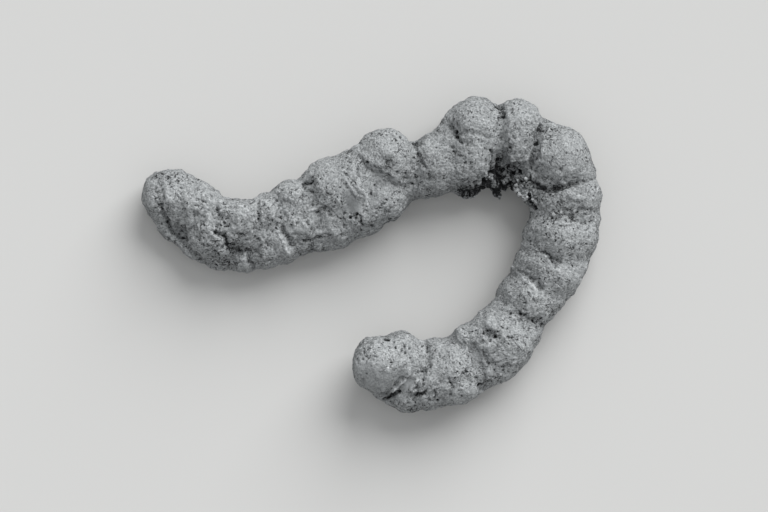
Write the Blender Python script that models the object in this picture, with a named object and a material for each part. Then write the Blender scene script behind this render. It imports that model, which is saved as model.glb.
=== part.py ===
"""A coprolite: one rope of fossil dung bent into a hook, lobed and pitted, lying on its flattened underside.

The rope is built as flattened balls strung along a bent middle line. They are fused into one skin, the
skin is pressed in along its creases and hollows, and it is cut off flat where it rests.
"""
from collections import namedtuple

import bmesh
import bpy
import numpy as np
from mathutils import Matrix, Vector, noise

# Every size below is in millimetres, and the finished rope is scaled to metres.
MM = 0.001

# The rope's middle line, from the plain end to the folded end: x, y, height above the table, radius.
SPINE = (
    (-10, 2.85, 1.3, 1.1),
    (-8.85, 1.85, 1.4, 1.25),
    (-7.6, 1.1, 1.45, 1.4),
    (-6.1, 1.1, 1.45, 1.4),
    (-4.55, 1.5, 1.45, 1.4),
    (-3.05, 2.1, 1.5, 1.5),
    (-1.6, 2.75, 1.55, 1.65),
    (-0.1, 3.3, 1.55, 1.55),
    (1.25, 3.95, 1.5, 1.4),
    (2.65, 4.3, 1.45, 1.3),
    (4.15, 4.95, 1.5, 1.3),
    (5.6, 5.6, 1.5, 1.2),
    (7.1, 5.9, 1.5, 1.1),
    (8.55, 5, 1.55, 1.3),
    (9.4, 3.25, 1.6, 1.55),
    (9.55, 1.75, 1.6, 1.6),
    (9.25, 0.3, 1.6, 1.6),
    (8.65, -1.15, 1.55, 1.5),
    (7.75, -2.45, 1.55, 1.45),
    (6.65, -3.9, 1.55, 1.5),
    (5.5, -4.9, 1.5, 1.45),
    (4.15, -5.8, 1.5, 1.45),
    (2.65, -6, 1.5, 1.5),
    (1.6, -5.8, 1.45, 1.45),
    (0.8, -5.5, 1.4, 1.35),
)

# A lobe is a flattened ball: the centre, half its length, width and height, and the way its length points.
Lobe = namedtuple("Lobe", "x y z long wide high turn")

PLAIN_END = (
    Lobe(-9.95, 2.95, 1.5, 1.6, 1.4, 1.4, 0),
    Lobe(-8.65, 2.45, 1.8, 1.8, 1.25, 1.4, -38),
    Lobe(-10.05, 1.65, 1, 1.8, 0.75, 1, -50),
    Lobe(-8.65, 0.45, 1.1, 1.2, 0.8, 1.1, -32),
    Lobe(-7.6, 1.1, 1.7, 1.5, 1.5, 1.55, 0),
    Lobe(-7.5, 2, 1.9, 1, 0.9, 1.2, -30),
)
FIRST_BEND = (
    Lobe(-6.45, 1.7, 2.1, 1.2, 1.2, 1.3, 30),
    Lobe(-6.3, -0.2, 1.2, 0.85, 0.7, 1, 0),
    Lobe(-7.5, -0.1, 1, 0.8, 0.75, 0.9, 0),
    Lobe(-5.2, 2.15, 1.9, 1, 0.95, 1.25, 80),
    Lobe(-5.2, 0.3, 1.5, 1, 1, 1.25, 0),
    Lobe(-4.05, 2.9, 1.8, 0.9, 0.85, 1.2, 0),
    Lobe(-4.45, 0.7, 1.6, 1.15, 0.9, 1.3, -62),
    Lobe(-4.6, 0.3, 1.2, 0.95, 0.8, 1, -25),
    Lobe(-3.6, 1.45, 1.85, 1.05, 1, 1.2, -20),
    Lobe(-3.35, 0.8, 1.5, 0.75, 0.7, 1.1, 0),
)
GREAT_LOBE = (
    Lobe(-1.95, 3.35, 1.9, 1.55, 1.6, 1.6, 20),
    Lobe(-0.75, 3.65, 1.95, 1.7, 1.6, 1.7, 30),
    Lobe(-2.55, 1.3, 1.4, 1.15, 1.2, 1.3, 0),
    Lobe(-1.65, 1.5, 1.45, 1.25, 1.2, 1.35, 20),
    Lobe(-0.4, 2.3, 1.7, 1.45, 1.35, 1.6, 30),
    Lobe(0.5, 2.9, 1.8, 1.4, 1.35, 1.6, 50),
    Lobe(1.25, 2.95, 1.5, 0.85, 0.8, 1.1, 30),
)
SHOULDER = (
    Lobe(0.8, 4.8, 2.2, 1.6, 1.5, 1.55, -35),
    Lobe(3.2, 4.5, 1.8, 1.65, 1.4, 1.5, 78),
    Lobe(2.5, 3.7, 1.65, 0.95, 0.9, 1.3, 0),
    Lobe(2.3, 4.8, 1.4, 1, 0.8, 1.1, 70),
    Lobe(4, 5.9, 1.9, 0.85, 0.8, 1.2, 60),
)
CROWN = (
    Lobe(5.25, 6.25, 2.05, 1.65, 1.65, 1.6, 0),
    Lobe(5.05, 4.5, 1.9, 1.5, 1.25, 1.55, 15),
    Lobe(4, 4.2, 1.65, 1.1, 1, 1.35, 0),
    Lobe(5.2, 5.35, 1.95, 1.4, 1.3, 1.6, 0),
    Lobe(7.25, 6.45, 2.15, 1.35, 1.3, 1.55, 90),
    Lobe(7.25, 5.7, 2, 1.6, 1.1, 1.55, 85),
    Lobe(9.5, 4.85, 2.1, 1.65, 1.5, 1.65, -70),
    Lobe(10.35, 4.1, 1.8, 0.95, 0.95, 1.4, 0),
    Lobe(8.55, 6.1, 1.6, 0.85, 0.8, 1.1, 0),
    Lobe(6.3, 4.35, 0.6, 1.6, 1, 0.9, 0),
    Lobe(7.75, 4, 1.1, 0.75, 1, 1.2, 0),
)
DESCENT = (
    Lobe(9.75, 3, 1.85, 1.9, 1.3, 1.55, 0),
    Lobe(9.5, 0.95, 1.85, 1.95, 1.55, 1.6, 0),
    Lobe(10.75, 1.95, 1.5, 0.8, 0.75, 1.1, 0),
    Lobe(8.85, -0.75, 1.8, 1.8, 1.35, 1.5, -20),
    Lobe(8.15, -0.3, 2, 0.85, 0.75, 1.2, 30),
    Lobe(10.1, -0.25, 1.7, 1, 0.75, 1.3, -70),
    Lobe(7.8, -2.25, 1.8, 1.6, 1.25, 1.5, -25),
    Lobe(8.95, -2.05, 1.5, 0.8, 0.8, 1.2, 0),
    Lobe(9.6, -1.3, 1.6, 0.85, 0.65, 1.2, -65),
)
LAST_BEND = (
    Lobe(6.5, -4.25, 1.9, 1.75, 1.75, 1.65, 0),
    Lobe(7.75, -3.75, 1.6, 0.95, 0.95, 1.3, 0),
    Lobe(6.2, -5.2, 1.6, 1.4, 1.2, 1.3, -40),
    Lobe(5.85, -3.3, 1.7, 0.8, 0.75, 1.2, 40),
    Lobe(4.75, -4.15, 1.65, 0.9, 0.75, 1.2, 30),
)
FOLDED_END = (
    Lobe(5.1, -5.6, 1.7, 1.35, 1.15, 1.5, -30),
    Lobe(4.1, -5.9, 1.85, 1.75, 1.65, 1.65, 0),
    Lobe(2.9, -6, 1.75, 1.7, 1.75, 1.6, 0),
    Lobe(3.3, -5.1, 1.7, 1.25, 1, 1.4, 0),
    Lobe(0.45, -5.45, 2.2, 1.5, 1.45, 1.75, 20),
    Lobe(1.6, -5.3, 2, 1.05, 1.2, 1.5, 0),
    Lobe(1.75, -6.35, 1.6, 0.75, 0.8, 1.25, 0),
    Lobe(1.45, -4.8, 2, 1.05, 1.05, 1.45, 0),
    Lobe(1.8, -7, 1.35, 1, 0.95, 1.2, 0),
    Lobe(0.85, -6.8, 1.1, 0.8, 0.7, 0.9, -40),
)
LOBES = PLAIN_END + FIRST_BEND + GREAT_LOBE + SHOULDER + CROWN + DESCENT + LAST_BEND + FOLDED_END

# Sand grains stuck in the bend between the crown and the descent: x, y, height, radius.
GRAINS = (
    (4.4, 3.15, 1.4, 0.4),
    (4.75, 3.05, 1.3, 0.4),
    (5.1, 3.15, 1.4, 0.4),
    (5.35, 3.75, 1.7, 0.35),
    (5.6, 3.5, 1.5, 0.35),
    (5.9, 3.65, 1.7, 0.35),
    (6.15, 3.2, 1.3, 0.35),
    (6.4, 3.4, 1.6, 0.4),
    (6.65, 3.85, 1.7, 0.4),
    (6.35, 3, 1, 0.3),
    (7.05, 3.65, 1.7, 0.3),
    (7.45, 3.2, 1.7, 0.35),
    (7.4, 3.65, 2.1, 0.4),
    (7.75, 2.8, 1.7, 0.35),
    (7.8, 3.3, 2.2, 0.4),
    (8.05, 3.85, 2.4, 0.4),
    (8.2, 3, 2.2, 0.4),
    (8.15, 2.4, 1.7, 0.35),
)

# How far each grain is turned and tilted from the one before it, in radians, and its width and height as
# shares of its length.
GRAIN_TURN = 1.3
GRAIN_TILT = 0.7
GRAIN_WIDTH = 0.8
GRAIN_HEIGHT = 0.9

# A crease runs along the rope's top and, more faintly, its underside: its points, its half width and its depth.
Crease = namedtuple("Crease", "points reach depth")

CREASES = (
    Crease(((-10.7, 3.25), (-10.35, 2.1), (-10.2, 1.5), (-9.5, 1), (-9.1, 0.25), (-8.35, -0.35)), 0.4, 0.25),
    Crease(((-7.7, 2.25), (-7.35, 1.5), (-7.6, 1), (-7.25, 0.45), (-6.35, 0.35)), 0.4, 0.2),
    Crease(((-5.65, 2.9), (-5.65, 1.65), (-5.8, 0.4), (-5.8, -0.6)), 0.4, 0.15),
    Crease(((-4.7, 2.75), (-4.45, 1.35), (-4, 0.5)), 0.35, 0.15),
    Crease(((-3.35, 0.9), (-2.1, 0.6)), 0.4, 0.2),
    Crease(((-3.2, 3.8), (-3, 3.1), (-2.65, 2.5), (-2.5, 1.5)), 0.4, 0.2),
    Crease(((-0.85, 5.35), (-0.25, 4.6), (0.4, 4.35), (1.4, 3.75), (1.9, 3.35)), 0.4, 0.2),
    Crease(((1.9, 5.85), (2.3, 5.25), (2.4, 4.5), (2.25, 3.6)), 0.4, 0.2),
    Crease(((3.55, 6.5), (3.9, 6.1), (4.2, 5.95)), 0.4, 0.2),
    Crease(((6.35, 7.3), (6.55, 6.9), (6.55, 5.75), (6.3, 4.15)), 0.45, 0.25),
    Crease(((8.95, 6.65), (8.55, 6.25), (8.25, 5.55), (8.05, 4.75)), 0.45, 0.25),
    Crease(((8.15, 4), (8.65, 3.6), (9.4, 3.45), (10.15, 3.5), (11.2, 3.85)), 0.45, 0.2),
    Crease(((9.55, 2), (10.15, 1.75), (10.7, 1.65)), 0.4, 0.2),
    Crease(((7.4, 0.5), (8.15, 0.35), (8.9, -0.15), (9.4, -0.35)), 0.4, 0.2),
    Crease(((6.95, -0.65), (7.65, -1), (8.15, -1.25)), 0.4, 0.2),
    Crease(((5.2, -2.9), (6.2, -3.1), (7, -3.5), (7.9, -3.3), (8.9, -3.3)), 0.45, 0.2),
    Crease(((4.75, -4.5), (5, -5.25), (5.4, -5.75), (5.65, -6.65)), 0.45, 0.25),
    Crease(((2.6, -4.4), (2.8, -5.2), (2.5, -6.2), (2.2, -6.9)), 0.4, 0.2),
    Crease(((0.35, -7.35), (1.1, -6.75), (1.5, -6.2)), 0.3, 0.3),
    Crease(((2.2, -7.1), (2.7, -6.8)), 0.3, 0.2),
)

# A crease has its full depth where the skin's normal rises at least this much, and this share of it beneath.
FULL_CREASE_SLOPE = 0.6
UNDERSIDE_SHARE = 0.6

# A hollow is a ball-shaped press into the skin: the centre, its radius and its depth.
Hollow = namedtuple("Hollow", "x y z reach depth")

HOLLOWS = (
    Hollow(-9.4, 1.15, 2, 0.7, 0.3),
    Hollow(-6.85, 0.25, 2.25, 0.7, 0.35),
    Hollow(-5.9, -0.2, 1.75, 0.5, 0.25),
    Hollow(-5.4, 3, 2.5, 0.5, 0.2),
    Hollow(-3.05, 3.6, 3, 0.5, 0.25),
    Hollow(-0.9, 2, 3.1, 0.5, 0.25),
    Hollow(2.15, 5.6, 2.25, 0.6, 0.35),
    Hollow(4.05, 6.2, 3.25, 0.5, 0.25),
    Hollow(6.5, 4.6, 2.4, 0.8, 0.3),
    Hollow(7.2, 4.4, 2.4, 0.7, 0.3),
    Hollow(9.15, 3.3, 3.25, 0.6, 0.25),
    Hollow(5.9, -3.9, 3.1, 0.7, 0.4),
    Hollow(5, -6.3, 3, 0.5, 0.25),
    Hollow(0.9, -7, 2.2, 0.5, 0.25),
)

# Rolling lumps over the whole skin, as the distance between them and their height.
SWELLS = ((1.3, 0.11), (0.6, 0.08))

# The rope is cut off flat this far above the lowest point of its middle line's tube.
REST_HEIGHT = 0.15
VOXEL = 0.11
LOBE_SMOOTHING = 8
GRAIN_SMOOTHING = 1
TRIANGLES = 9400
SEED_OFFSET = Vector((3.1, 7.7, 1.9))
COLOUR = (0.24, 0.25, 0.25, 1.0)


def clear_scene():
    for item in list(bpy.data.objects):
        bpy.data.objects.remove(item, do_unlink=True)


def add_spine(mesh):
    """Adds the round rope that runs through the middle of every lobe."""
    curve = bpy.data.curves.new("spine", "CURVE")
    curve.dimensions = "3D"
    curve.bevel_depth = 1.0
    curve.bevel_resolution = 8
    curve.use_fill_caps = True
    curve.resolution_u = 6
    spline = curve.splines.new("NURBS")
    spline.points.add(len(SPINE) - 1)
    spline.use_endpoint_u = True
    spline.order_u = 3
    for point, (x, y, z, radius) in zip(spline.points, SPINE):
        point.co = (x, y, z, 1.0)
        point.radius = radius
    holder = bpy.data.objects.new("spine", curve)
    rope = bpy.data.meshes.new_from_object(holder)
    mesh.from_mesh(rope)
    bpy.data.objects.remove(holder)
    bpy.data.curves.remove(curve)
    bpy.data.meshes.remove(rope)


def add_lobe(mesh, lobe):
    place = Matrix.Translation((lobe.x, lobe.y, lobe.z))
    turn = Matrix.Rotation(np.radians(lobe.turn), 4, "Z")
    stretch = Matrix.Diagonal((lobe.long, lobe.wide, lobe.high, 1.0))
    bmesh.ops.create_icosphere(mesh, subdivisions=4, radius=1.0, matrix=place @ turn @ stretch)


def add_grain(mesh, index, grain):
    """Adds one angular sand grain, turned its own way."""
    x, y, z, radius = grain
    turn = Matrix.Rotation(index * GRAIN_TURN, 4, "Z") @ Matrix.Rotation(index * GRAIN_TILT, 4, "X")
    stretch = Matrix.Diagonal((radius, radius * GRAIN_WIDTH, radius * GRAIN_HEIGHT, 1.0))
    place = Matrix.Translation((x, y, z)) @ turn @ stretch
    bmesh.ops.create_icosphere(mesh, subdivisions=1, radius=1.0, matrix=place)


def raw_rope():
    """Returns the rope and its lobes as one object of overlapping closed shapes."""
    mesh = bmesh.new()
    add_spine(mesh)
    for lobe in LOBES:
        add_lobe(mesh, lobe)
    data = bpy.data.meshes.new("coprolite")
    mesh.to_mesh(data)
    mesh.free()
    rope = bpy.data.objects.new("coprolite", data)
    bpy.context.scene.collection.objects.link(rope)
    return rope


def strew_grains(rope):
    """Sticks the sand grains to the skin."""
    mesh = bmesh.new()
    mesh.from_mesh(rope.data)
    for index, grain in enumerate(GRAINS):
        add_grain(mesh, index, grain)
    mesh.to_mesh(rope.data)
    mesh.free()


def apply_modifiers(item):
    graph = bpy.context.evaluated_depsgraph_get()
    baked = bpy.data.meshes.new_from_object(item.evaluated_get(graph))
    worn = item.data
    item.modifiers.clear()
    item.data = baked
    bpy.data.meshes.remove(worn)


def fuse(rope, smoothing_passes):
    """Wraps every overlapping shape in one skin and softens the joins."""
    remesh = rope.modifiers.new("skin", "REMESH")
    remesh.mode = "VOXEL"
    remesh.voxel_size = VOXEL
    smooth = rope.modifiers.new("soften", "SMOOTH")
    smooth.factor = 0.5
    smooth.iterations = smoothing_passes
    apply_modifiers(rope)


def distance_to_path(spots, path):
    """Returns how far each x, y spot lies from a path of straight runs."""
    nearest = np.full(len(spots), np.inf)
    for start, end in zip(path[:-1], path[1:]):
        start = np.array(start, dtype=float)
        run = np.array(end, dtype=float) - start
        along = np.clip((spots - start) @ run / (run @ run), 0.0, 1.0)
        gap = np.linalg.norm(spots - start - along[:, None] * run, axis=1)
        nearest = np.minimum(nearest, gap)
    return nearest


def fade(distance, reach):
    """Falls smoothly from 1 at no distance to 0 at the reach."""
    share = np.clip(1.0 - (distance / reach) ** 2, 0.0, 1.0)
    return share * share


def sculpt(rope):
    """Presses the creases and hollows into the skin and raises its rolling lumps."""
    data = rope.data
    spots = np.empty(len(data.vertices) * 3)
    data.vertices.foreach_get("co", spots)
    spots = spots.reshape(-1, 3)
    normals = np.empty(len(data.vertices) * 3)
    data.vertex_normals.foreach_get("vector", normals)
    normals = normals.reshape(-1, 3)
    upward = np.clip(normals[:, 2] / FULL_CREASE_SLOPE, 0.0, 1.0)
    downward = np.clip(-normals[:, 2] / FULL_CREASE_SLOPE, 0.0, 1.0)
    sink = np.zeros(len(spots))
    for crease in CREASES:
        deep = crease.depth * fade(distance_to_path(spots[:, :2], crease.points), crease.reach)
        sink = np.maximum(sink, deep)
    push = np.zeros(len(spots))
    for hollow in HOLLOWS:
        gap = np.linalg.norm(spots - np.array((hollow.x, hollow.y, hollow.z)), axis=1)
        push -= hollow.depth * fade(gap, hollow.reach)
    for spacing, height in SWELLS:
        push += height * np.array([noise.noise(Vector(spot) / spacing + SEED_OFFSET) for spot in spots])
    moved = spots + push[:, None] * normals
    moved[:, 2] -= sink * (upward - UNDERSIDE_SHARE * downward)
    data.vertices.foreach_set("co", moved.ravel())
    data.update()


def thin_out(rope):
    """Brings the skin down to its triangle budget, keeping most of them where it curves most."""
    rope.data.calc_loop_triangles()
    thin = rope.modifiers.new("thin", "DECIMATE")
    thin.ratio = TRIANGLES / len(rope.data.loop_triangles)
    apply_modifiers(rope)


def cut_underside(rope):
    """Cuts the rope off flat where it rests."""
    mesh = bmesh.new()
    mesh.from_mesh(rope.data)
    everything = mesh.verts[:] + mesh.edges[:] + mesh.faces[:]
    cut = bmesh.ops.bisect_plane(
        mesh, geom=everything, plane_co=(0, 0, REST_HEIGHT), plane_no=(0, 0, -1), clear_outer=True
    )
    rim = [part for part in cut["geom_cut"] if isinstance(part, bmesh.types.BMEdge)]
    bmesh.ops.holes_fill(mesh, edges=rim, sides=0)
    bmesh.ops.triangulate(mesh, faces=mesh.faces[:])
    bmesh.ops.recalc_face_normals(mesh, faces=mesh.faces[:])
    mesh.to_mesh(rope.data)
    mesh.free()


def place(rope):
    """Puts the origin under the middle of the rope's box and brings it to its real size."""
    corners = [Vector(corner) for corner in rope.bound_box]
    low = Vector([min(corner[axis] for corner in corners) for axis in range(3)])
    high = Vector([max(corner[axis] for corner in corners) for axis in range(3)])
    middle = (low + high) / 2
    shift = Matrix.Translation((-middle.x, -middle.y, -REST_HEIGHT))
    rope.data.transform(Matrix.Scale(MM, 4) @ shift)


def make_material():
    phosphate = bpy.data.materials.new("phosphate")
    phosphate.use_nodes = True
    surface = phosphate.node_tree.nodes["Principled BSDF"]
    surface.inputs["Base Color"].default_value = COLOUR
    surface.inputs["Roughness"].default_value = 0.9
    surface.inputs["Metallic"].default_value = 0.0
    return phosphate


def main():
    clear_scene()
    rope = raw_rope()
    fuse(rope, LOBE_SMOOTHING)
    sculpt(rope)
    strew_grains(rope)
    fuse(rope, GRAIN_SMOOTHING)
    thin_out(rope)
    cut_underside(rope)
    place(rope)
    rope.data.materials.append(make_material())


main()
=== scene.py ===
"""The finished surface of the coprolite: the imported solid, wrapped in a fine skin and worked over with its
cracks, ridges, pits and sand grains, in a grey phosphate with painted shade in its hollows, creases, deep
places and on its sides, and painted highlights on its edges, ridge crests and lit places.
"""

from collections import namedtuple

import bmesh
import bpy
import numpy as np
from mathutils import Matrix, Vector, noise


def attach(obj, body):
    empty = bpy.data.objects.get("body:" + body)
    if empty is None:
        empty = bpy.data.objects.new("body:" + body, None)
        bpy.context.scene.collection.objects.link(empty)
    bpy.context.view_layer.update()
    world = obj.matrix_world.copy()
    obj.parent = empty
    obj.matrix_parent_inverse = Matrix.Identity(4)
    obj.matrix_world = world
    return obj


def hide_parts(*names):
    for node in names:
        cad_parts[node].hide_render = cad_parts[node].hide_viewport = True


# Every size and place is in millimetres in the part's frame, +X to the right and +Y up in plan, and every
# angle is in degrees, unless a comment says otherwise. The finished skin is scaled to metres.
MM = 0.001

# A mark along a path: its points, its half width and its amount in the middle.
Line = namedtuple("Line", "points reach amount")
# A round mark: its centre, its radius and its amount in the middle.
Spot = namedtuple("Spot", "x y reach amount")

# Narrow creases in the top of the rope, by depth.
CREASES = (
    Line(((-10.55, 2.5), (-10.45, 2.1), (-10.2, 1.55), (-10, 1.25)), 0.15, 0.15),
    Line(((-10, 1.25), (-9.5, 0.85), (-9.1, 0.25), (-8.35, -0.35)), 0.2, 0.1),
    Line(((-9.4, 1.45), (-9.3, 0.85), (-9.15, 0.35)), 0.15, 0.1),
    Line(((-7.7, 2.2), (-7.4, 1.65)), 0.125, 0.06),
    Line(((-7.75, 1.15), (-7.35, 0.85), (-7.15, 0.5)), 0.15, 0.125),
    Line(((-7.3, 0.45), (-6.8, 0.2), (-6.2, 0.2)), 0.2, 0.11),
    Line(((-6.2, 0.15), (-6.1, -0.35), (-5.9, -0.7)), 0.2, 0.15),
    Line(((-5.7, 2.6), (-5.6, 2.25), (-5.65, 1.8)), 0.15, 0.125),
    Line(((-4.45, 1.45), (-4.2, 0.9), (-4, 0.5)), 0.175, 0.125),
    Line(((-3.4, 0.65), (-3, 0.75), (-2.75, 0.9), (-2.55, 0.95)), 0.125, 0.125),
    Line(((-2.55, 0.95), (-2.25, 1), (-1.95, 0.85)), 0.125, 0.06),
    Line(((-3.45, 3.55), (-3, 3.65)), 0.1, 0.16),
    Line(((-3.4, 3.55), (-3.3, 3.25), (-3, 3.15)), 0.175, 0.125),
    Line(((-2.7, 2.15), (-2.6, 1.75), (-2.65, 1.25)), 0.13, 0.1),
    Line(((-0.8, 5.3), (-0.5, 4.9), (-0.2, 4.6), (0.4, 4.3), (1, 3.9)), 0.15, 0.03),
    Line(((-0.75, 4.4), (-0.65, 3.95)), 0.125, 0.1),
    Line(((-2.4, 2.35), (-2.15, 2.2), (-2, 1.95)), 0.13, 0.11),
    Line(((-1.3, 3.5), (-1.05, 3.15), (-0.8, 2.9)), 0.1, 0.05),
    Line(((-0.6, 1.95), (-0.55, 1.45)), 0.11, 0.11),
    Line(((1.9, 5.85), (2.15, 5.55), (2.25, 5.25)), 0.2, 0.15),
    Line(((2.25, 5.25), (2.4, 4.75), (2.75, 4.25)), 0.12, 0.1),
    Line(((2, 4.6), (2.15, 4.15)), 0.11, 0.08),
    Line(((3.9, 6.45), (4.1, 6.2), (4.25, 5.85), (4.5, 5.6)), 0.14, 0.11),
    Line(((4.7, 6.15), (5.4, 6.05), (5.8, 5.85)), 0.2, 0.075),
    Line(((6.25, 7.6), (6.5, 7.1), (6.55, 6.85)), 0.25, 0.15),
    Line(((6.55, 6.85), (6.6, 6.45), (6.5, 5.75), (6.4, 4.85)), 0.25, 0.065),
    Line(((5.95, 5.15), (6.05, 4.85), (5.95, 4.55), (5.95, 4.3)), 0.12, 0.13),
    Line(((6.35, 4.75), (6.3, 4.45), (6.2, 4.15), (5.85, 4.1)), 0.15, 0.25),
    Line(((6.2, 4.15), (6.4, 3.85), (6.65, 3.95)), 0.15, 0.15),
    Line(((5.6, 3.7), (5.6, 3.45), (5.2, 3.4)), 0.13, 0.25),
    Line(((6.85, 3.8), (6.9, 3.35)), 0.12, 0.2),
    Line(((7.25, 4.35), (7.4, 4.15)), 0.1, 0.2),
    Line(((7.85, 4), (7.95, 3.65), (8.2, 3.45), (8.45, 3.35)), 0.13, 0.2),
    Line(((7.9, 3.05), (7.9, 2.7)), 0.11, 0.3),
    Line(((8, 2.55), (8.15, 2.35)), 0.15, 0.25),
    Line(((8.8, 6.7), (8.45, 6.4), (8.25, 6), (8.15, 5.55)), 0.2, 0.075),
    Line(((8.15, 5.55), (8, 5.1), (7.95, 4.35)), 0.15, 0.15),
    Line(((8.2, 3.45), (8.8, 3.3), (9.5, 3.35), (10.25, 3.55)), 0.225, 0.2),
    Line(((10.25, 3.55), (10.8, 3.7), (11.25, 3.85)), 0.15, 0.1),
    Line(((10.3, 2.2), (10.8, 2.3), (11.35, 2.2)), 0.15, 0.08),
    Line(((9.5, 2), (10.15, 1.75), (10.95, 1.5)), 0.15, 0.08),
    Line(((10.95, 2.1), (10.9, 1.5), (10.8, 0.9)), 0.175, 0.075),
    Line(((8.65, 0.1), (9, -0.2), (9.4, -0.35)), 0.15, 0.1),
    Line(((8.85, -0.1), (9.2, -0.55)), 0.15, 0.15),
    Line(((7.3, -0.75), (7.8, -1), (8.15, -1.25), (8.4, -1.65)), 0.175, 0.125),
    Line(((6.4, -2.7), (6.9, -2.85), (7.5, -2.9), (7.95, -3.2), (8.55, -3.5)), 0.15, 0.075),
    Line(((5, -4.65), (5.3, -5.15), (5.45, -5.65)), 0.4, 0.1),
    Line(((4.8, -4.7), (4.95, -5.1), (5.05, -5.45)), 0.11, 0.11),
    Line(((5.45, -4.8), (5.65, -5.15), (5.8, -5.45), (5.6, -5.95), (5.65, -6.7)), 0.11, 0.09),
    Line(((5.4, -6.65), (5.9, -6.3)), 0.2, 0.15),
    Line(((2.7, -4.4), (2.9, -4.85), (2.8, -5.55), (2.55, -6.15)), 0.15, 0.08),
    Line(((0.55, -7.25), (0.85, -7.1), (1.05, -6.95), (1.3, -6.8)), 0.15, 0.16),
    Line(((1.1, -6.525), (1.3, -6.325), (1.5, -6.075)), 0.09, 0.1),
    Line(((1.65, -6.525), (1.95, -6.275)), 0.225, 0.045),
    Line(((2.25, -6.975), (2.45, -6.9), (2.675, -6.825)), 0.12, 0.175),
    Line(((3.125, -6.75), (3.15, -7.15)), 0.09, 0.125),
    Line(((3.9, -6.15), (4, -6.55), (3.9, -7.05)), 0.13, 0.1),
    Line(((0.6, -4.2), (0.85, -4.215)), 0.09, 0.3),
)
# Narrow ridges on it, by height.
RIDGES = (
    Line(((-4.7, 1.15), (-4.4, 0.6), (-4.1, 0)), 0.15, 0.08),
    Line(((-3.15, 2.225), (-2.95, 2.275), (-2.7, 2.35), (-2.55, 2.5)), 0.09, 0.13),
    Line(((-9.15, 2.45), (-9, 1.75), (-9.1, 1.05)), 0.2, 0.06),
    Line(((-1.25, 3.65), (-0.95, 3.25), (-0.7, 3), (-0.4, 2.9)), 0.12, 0.07),
    Line(((-2.1, 3.35), (-1.85, 2.9), (-1.55, 2.45)), 0.09, 0.04),
    Line(((-1.8, 3.35), (-1.55, 2.9), (-1.4, 2.55)), 0.08, 0.035),
    Line(((-0.75, 3.4), (-0.45, 3.2), (-0.25, 2.85), (-0.3, 2.35)), 0.18, 0.09),
    Line(((-0.95, 4.35), (-0.75, 3.85), (-0.6, 3.4)), 0.175, 0.04),
    Line(((0.5, -7.125), (0.8, -6.925), (1.05, -6.725)), 0.1, 0.13),
    Line(((1.05, -6.725), (1.35, -6.45), (1.65, -6.2)), 0.115, 0.19),
    Line(((1.875, -5.65), (1.86, -6)), 0.09, 0.11),
    Line(((1.95, -6.7), (2.1, -6.5), (2.3, -6.225)), 0.13, 0.17),
    Line(((1.95, -6.725), (2.2, -6.75)), 0.12, 0.15),
    Line(((4.95, -6.15), (5.1, -6.6), (5.05, -7)), 0.2, 0.07),
    Line(((9.05, 2.025), (9.35, 2.075), (9.65, 1.85)), 0.15, 0.125),
    Line(((8.4, 0), (8.8, -0.15), (9.1, -0.5)), 0.15, 0.11),
    Line(((7.5, -1.2), (7.9, -1.4), (8.2, -1.75), (8.15, -2.15)), 0.15, 0.125),
)
# Where the furrows between the lobes are filled up, by the height of the filling.
FILLS = (
    Line(((-1, 5.5), (-0.55, 5), (-0.1, 4.65), (0.4, 4.4), (0.9, 4.15), (1.3, 3.8)), 0.4, 0.21),
    Line(((1.8, 6.05), (2.15, 5.45), (2.45, 4.75), (2.6, 4.25)), 0.3, 0.075),
    Line(((-7.55, 2.6), (-7.35, 2), (-7.5, 1.25)), 0.35, 0.11),
    Line(((-5.7, 2.85), (-5.6, 2.15), (-5.6, 1.15)), 0.35, 0.06),
    Line(((7.25, 0.6), (7.7, 0.45), (8.3, 0.25)), 0.35, 0.175),
    Line(((6.7, -0.6), (7.15, -0.7), (7.7, -1)), 0.35, 0.175),
    Line(((4.45, -3.95), (4.75, -4.6), (5, -5.05)), 0.35, 0.15),
    Line(((9, 6.45), (8.7, 5.95), (8.55, 5.25), (8.35, 4.65)), 0.225, 0.08),
    Line(((6.05, -2.4), (6.55, -2.65)), 0.25, 0.075),
    Line(((2.45, -4.3), (2.6, -4.85), (2.55, -5.55)), 0.25, 0.1),
    Line(((10.15, 3.4), (10.7, 3.6), (11.35, 3.85)), 0.3, 0.075),
)
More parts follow.
